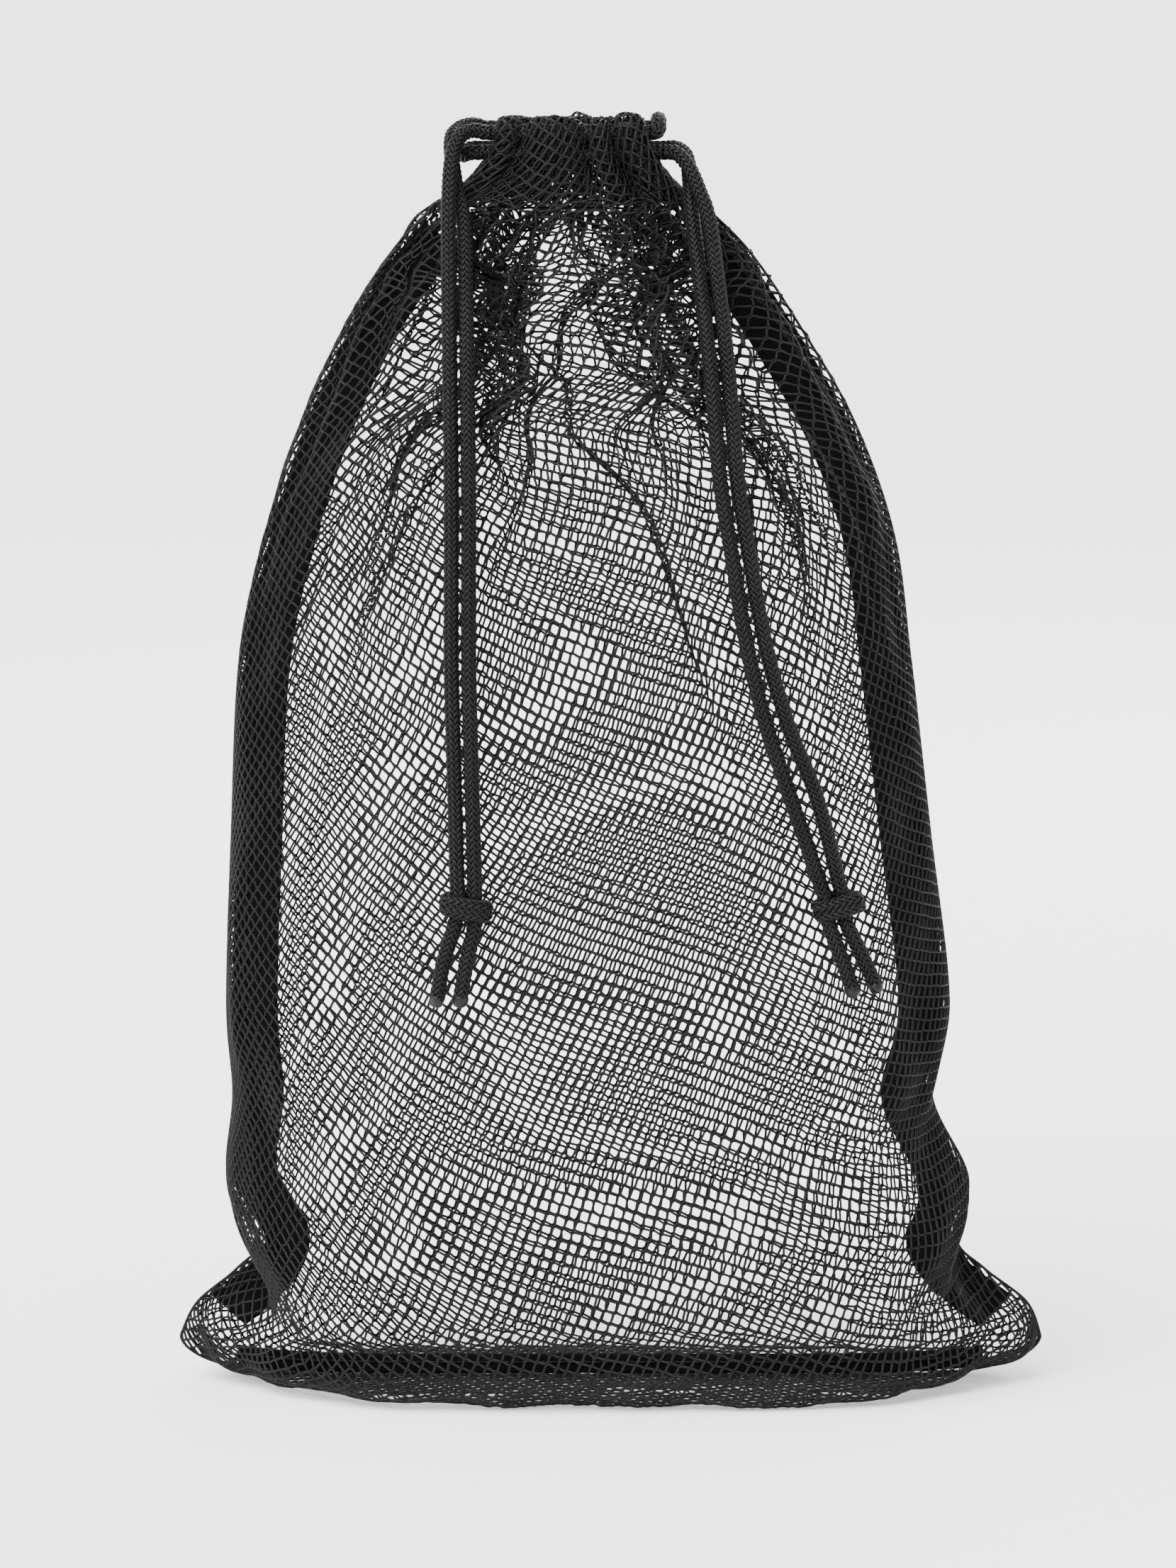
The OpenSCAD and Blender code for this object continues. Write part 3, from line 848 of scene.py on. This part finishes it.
def lobeShape(t, lobes):
    bulge = np.zeros_like(t)
    for start, end, size in lobes:
        share = np.clip((t - start) / (end - start), 0, 1)
        inside = (t >= start) & (t < end)
        bulge = np.where(inside, size * np.maximum(0, np.sin(np.pi * share)) ** lobePlan["round"], bulge)
    return bulge


def casingGrid(t, side, lobes):
    walls = np.array(casingPlan["walls"])
    way = np.linspace(0, 1, casingPlan["wallPoints"])
    h = np.interp(way, walls[:, 0], walls[:, 1])
    out = np.interp(way, walls[:, 0], walls[:, 2])
    window = casingPlan["rounding"]
    soften = np.ones(window) / window
    h[window // 2:-(window // 2)] = np.convolve(h, soften, "valid")
    out[window // 2:-(window // 2)] = np.convolve(out, soften, "valid")
    swing = np.sin(3.1 * t + casingPlan["leanStart"][side])
    grid = np.zeros((len(way), len(t), 3))
    for i in range(len(way)):
        outer = way[i] <= casingPlan["outerUntil"]
        rise = smooth((h[i] + 0.12) / 0.5)
        moved = t + casingPlan["lean"] * (0.6 - h[i]) * swing
        bulge = lobeShape(moved, lobes) ** (1 + lobePlan["footPinch"] * (1 - h[i]))
        ripple = 0.5 * np.sin(moved * 29 + 1.0) + 0.35 * np.sin(moved * 47 + 5 * h[i])
        full = lobePlan["out"] * (bulge - lobePlan["outFrom"]) + lobePlan["ripple"] * ripple * bulge
        stretch = out[i] + rise * (full if outer else -lobePlan["inner"] * full)
        spot = casingPoint(t, np.full(len(t), h[i]), stretch)
        spot[:, 2] += h[i] ** 2 * lobePlan["high"] * (bulge - lobePlan["highFrom"])
        spot[:, 2] += lobePlan["rippleHigh"] * ripple
        if side == "back":
            spot[:, 2] -= h[i] * casingPlan["backLower"]
        if outer:
            # Each lobe's foot swells out and hangs a little over the seam.
            spot[:, 2] -= (1 - h[i]) ** 3 * lobePlan["hang"] * bulge ** 3
        grid[i] = spot
    return grid


def casingSurface(side, lobes):
    t = np.linspace(-1, 1, casingPlan["fine"])
    reach = reachAlong(casingGrid(t, side, lobes)[casingPlan["faceRow"]])
    columns = casingPlan["columns"]
    even = np.interp(np.linspace(0, reach[-1], columns), reach, t)
    grid = casingGrid(even, side, lobes)
    return np.linspace(-reach[-1] / 2, reach[-1] / 2, columns), reachUp(grid), grid


def gatheredLayer(out, phase, lobes):
    wide, columns = gatherPlan["wide"], casingPlan["columns"]
    t = np.linspace(-gatherPlan["end"], gatherPlan["end"], columns)
    room = np.ones_like(t)
    if out > 1:
        full = np.clip(lobeShape(t, lobes), 0, 1) ** 1.5
        room = gatherPlan["least"] + (1 - gatherPlan["least"]) * full
    h = np.linspace(gatherPlan["from"], gatherPlan["to"], gatherPlan["rows"])
    zigzag = gatherPlan["zigzag"] * np.sin(np.pi * gatherPlan["pleats"] * t + phase + 0.8 * np.sin(7 * t))
    follow = np.interp(h, *np.array(gatherPlan["follow"]).T)
    grid = np.stack([casingPoint(t, np.full(len(t), share), out * f * room + zigzag * f)
                     for share, f in zip(h, follow)])
    return np.linspace(-wide / 2, wide / 2, columns), reachUp(grid), grid


def casing(side, lobes, seed):
    across, reach, grid = casingSurface(side, lobes)
    lines, outwards = latticeLines(across, reach, grid, seed)
    made = [tubes(lines, outwards, netPlan["thread"], netPlan["thread"], 4)]
    inner = gatherPlan["thread"] * netPlan["thread"]
    for out, phase in gatherPlan["layers"]:
        lines, outwards = latticeLines(*gatheredLayer(out, phase, lobes), seed)
        made.append(tubes(lines, outwards, inner, inner, 4))
    edges = [grid[:, 0], grid[:, -1], grid[-1]]
    outwards = [np.tile([0.1, 1.0, 0.2], (len(e), 1)) for e in edges]
    made.append(tubes(edges, outwards, netPlan["edge"], netPlan["edge"], 4))
    points, quads, caps = joinTubes(made)
    if side == "back":
        points, quads, caps = flip(points), quads[:, ::-1], caps[:, ::-1]
    piece = makePiece(side + "_casing_net", points, quads, caps, "netThread", "net")
    tiltWithLip(piece)
    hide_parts(side + "_casing")
    wide = across[-1] - across[0]
    print(side, "casing has", len(quads), "faces, flat cloth", round(wide), "by", round(reach[-1]), "mm")
    return grid


def tiltWithLip(piece):
    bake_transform(piece)


runPlan = {"points": 15, "end": 0.97, "coarser": 1.4}


def runPiece(cordName, side, reach, exitAt, h):
    count, neck = runPlan["points"], casingPlan["neck"]
    t = np.linspace(-runPlan["end"], runPlan["end"], count)
    middle = casingPoint(t, np.full(count, h), np.zeros(count))
    y, z = -exitAt[0], exitAt[1]
    route = np.concatenate([[[neck - reach, y, z]], middle, [[neck + reach, y, z]]])
    if side == "back":
        route = flip(route)
    line = smoothLine(route, braidStep * runPlan["coarser"])
    piece = braidedCord(cordName + "_" + side + "_run_braid", [line])
    tiltWithLip(piece)
    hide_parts(cordName + "_" + side + "_run")


stitchPlan = {
    "thread": 0.34,
    "stitch": 3.2,
    "points": 8,  # in one stitch
    "sides": 6,
    "rise": 0.5,
    "middle": 0.25,
    "swing": 1.3,
    "top": 0.6,
    "off": 0.4,  # clear of the tape's face
    "sideIn": 4,
    "bottomUp": 4.2,
}


def stitchRow(name, line, outward, node, body):
    line = smoothLine(line, stitchPlan["stitch"] / stitchPlan["points"])
    wave = stitchPlan["swing"] * np.cos(2 * np.pi * reachAlong(line) / stitchPlan["stitch"])
    lift = np.clip(stitchPlan["middle"] + wave, -1, stitchPlan["top"])
    outward = np.tile(np.array(outward, float), (len(line), 1))
    path = line + outward * (stitchPlan["rise"] * lift)[:, None]
    thread = stitchPlan["thread"]
    points, quads, caps = tubes([path], [outward], thread, thread, stitchPlan["sides"])
    piece = makePiece(name, points, quads, caps, "sewingThread", "thread")
    if body in ("front", "back"):
        tiltWithLip(piece)
    else:
        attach(piece, body)
    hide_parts(node)


for side, lobes, seed in (("front", frontLobes, 31), ("back", backLobes, 32)):
    grid = casing(side, lobes, seed)
    seam = grid[casingPlan["seamRow"]] + np.array([0, -casingPlan["seamOut"], 0])
    if side == "back":
        seam = flip(seam)
    outwardWay = (0, -1, 0) if side == "front" else (0, 1, 0)
    stitchRow(side + "_casing_stitches", seam, outwardWay, side + "_casing_stitching", side)
    runPiece("left_cord", side, 27.6, (9, 442), 0.8)
    runPiece("right_cord", side, 32, (8.2, 435), 0.58)
print("casings ready")


# Tapes: woven with a fine slanting rib, one down each side seam and one along the bottom

tapePlan = {
    "rib": 1.5,
    "ribHigh": 0.12,
    "along": 640,
    "across": 30,
    "bottomAlong": 420,
    "sway": 0.28,
    "edgeThin": 0.35,  # the edges' share of the thickness
    "edgeWide": 9,  # an edge is one part in this many of the width
}


def seamPoint(v, side, inset):
    edge = np.full(len(v), side * 90.0)
    here = cloth(v, edge)
    t = unit(cloth(np.minimum(v + 1, lastRow), edge) - cloth(np.maximum(v - 1, 0), edge))
    return np.stack([here[:, 0] - side * t[:, 2] * inset, np.zeros(len(v)),
                     here[:, 2] + side * t[:, 0] * inset], 1)


def wovenTape(name, near, far, thick, node):
    along, across = len(near), tapePlan["across"]
    length = reachAlong(near)[:, None]
    share = np.linspace(0, 1, across)[None]
    wide = np.linalg.norm(far[0] - near[0])
    middle = near[:, None] * (1 - share[:, :, None]) + far[:, None] * share[:, :, None]
    sway = tapePlan["sway"] * np.sin(length / 31 + 0.7) * np.sin(length / 11.3)
    rib = tapePlan["ribHigh"] * np.cos(2 * np.pi * (length + share * wide) / tapePlan["rib"])
    edge = np.minimum(1, np.minimum(share, 1 - share) * tapePlan["edgeWide"]) ** 0.5
    half = thick / 2 * (tapePlan["edgeThin"] + (1 - tapePlan["edgeThin"]) * edge) + rib * edge
    front, back = middle.copy(), middle.copy()
    front[:, :, 1] += sway - half
    back[:, :, 1] += sway + half
    ring = np.concatenate([front, back[:, ::-1]], 1)
    count = 2 * across
    caps = []
    for start, turned in ((0, False), (count * (along - 1), True)):
        for j in range(across - 1):
            quad = [start + j, start + count - 1 - j, start + count - 2 - j, start + j + 1]
            caps.append(quad[::-1] if turned else quad)
    piece = makePiece(name, ring.reshape(-1, 3), bandQuads(along, count), np.array(caps),
                      "tapeWeave", "tape")
    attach(piece, "bag")
    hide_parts(node)


thick = bagShape["tapeThick"]
face = -thick / 2 - stitchPlan["off"]
for name, side in (("left", -1), ("right", 1)):
    v = np.linspace(bagShape["tapeStart"], bagShape["tapeEnd"], tapePlan["along"])
    inner, outer = bagShape["tapeInset"], bagShape["tapeInset"] + bagShape["tapeWide"]
    near, far = seamPoint(v, side, inner), seamPoint(v, side, outer)
    wovenTape(name + "_tape", near, far, thick, name + "_side_tape")
    row = seamPoint(v[::6], side, inner + stitchPlan["sideIn"]) + np.array([0, face, 0])
    stitchRow(name + "_side_stitches", row, (0, -1, 0), name + "_side_stitching", "bag")

a = np.linspace(-bagShape["bottomEnd"], bagShape["bottomEnd"], tapePlan["bottomAlong"])
bottom = cloth(np.zeros(len(a)), a) * np.array([1, 0, 1]) + np.array([0, 0, bagShape["bottomUp"]])
above = bottom + np.array([0, 0, bagShape["bottomTape"]])
wovenTape("bottom_tape", bottom, above, thick, "bottom_seam_tape")
row = (bottom + np.array([0, face, stitchPlan["bottomUp"]]))[6:-6:5]
stitchRow("bottom_stitches", row, (0, -1, 0), "bottom_seam_stitching", "bag")
print("tapes and stitching ready")
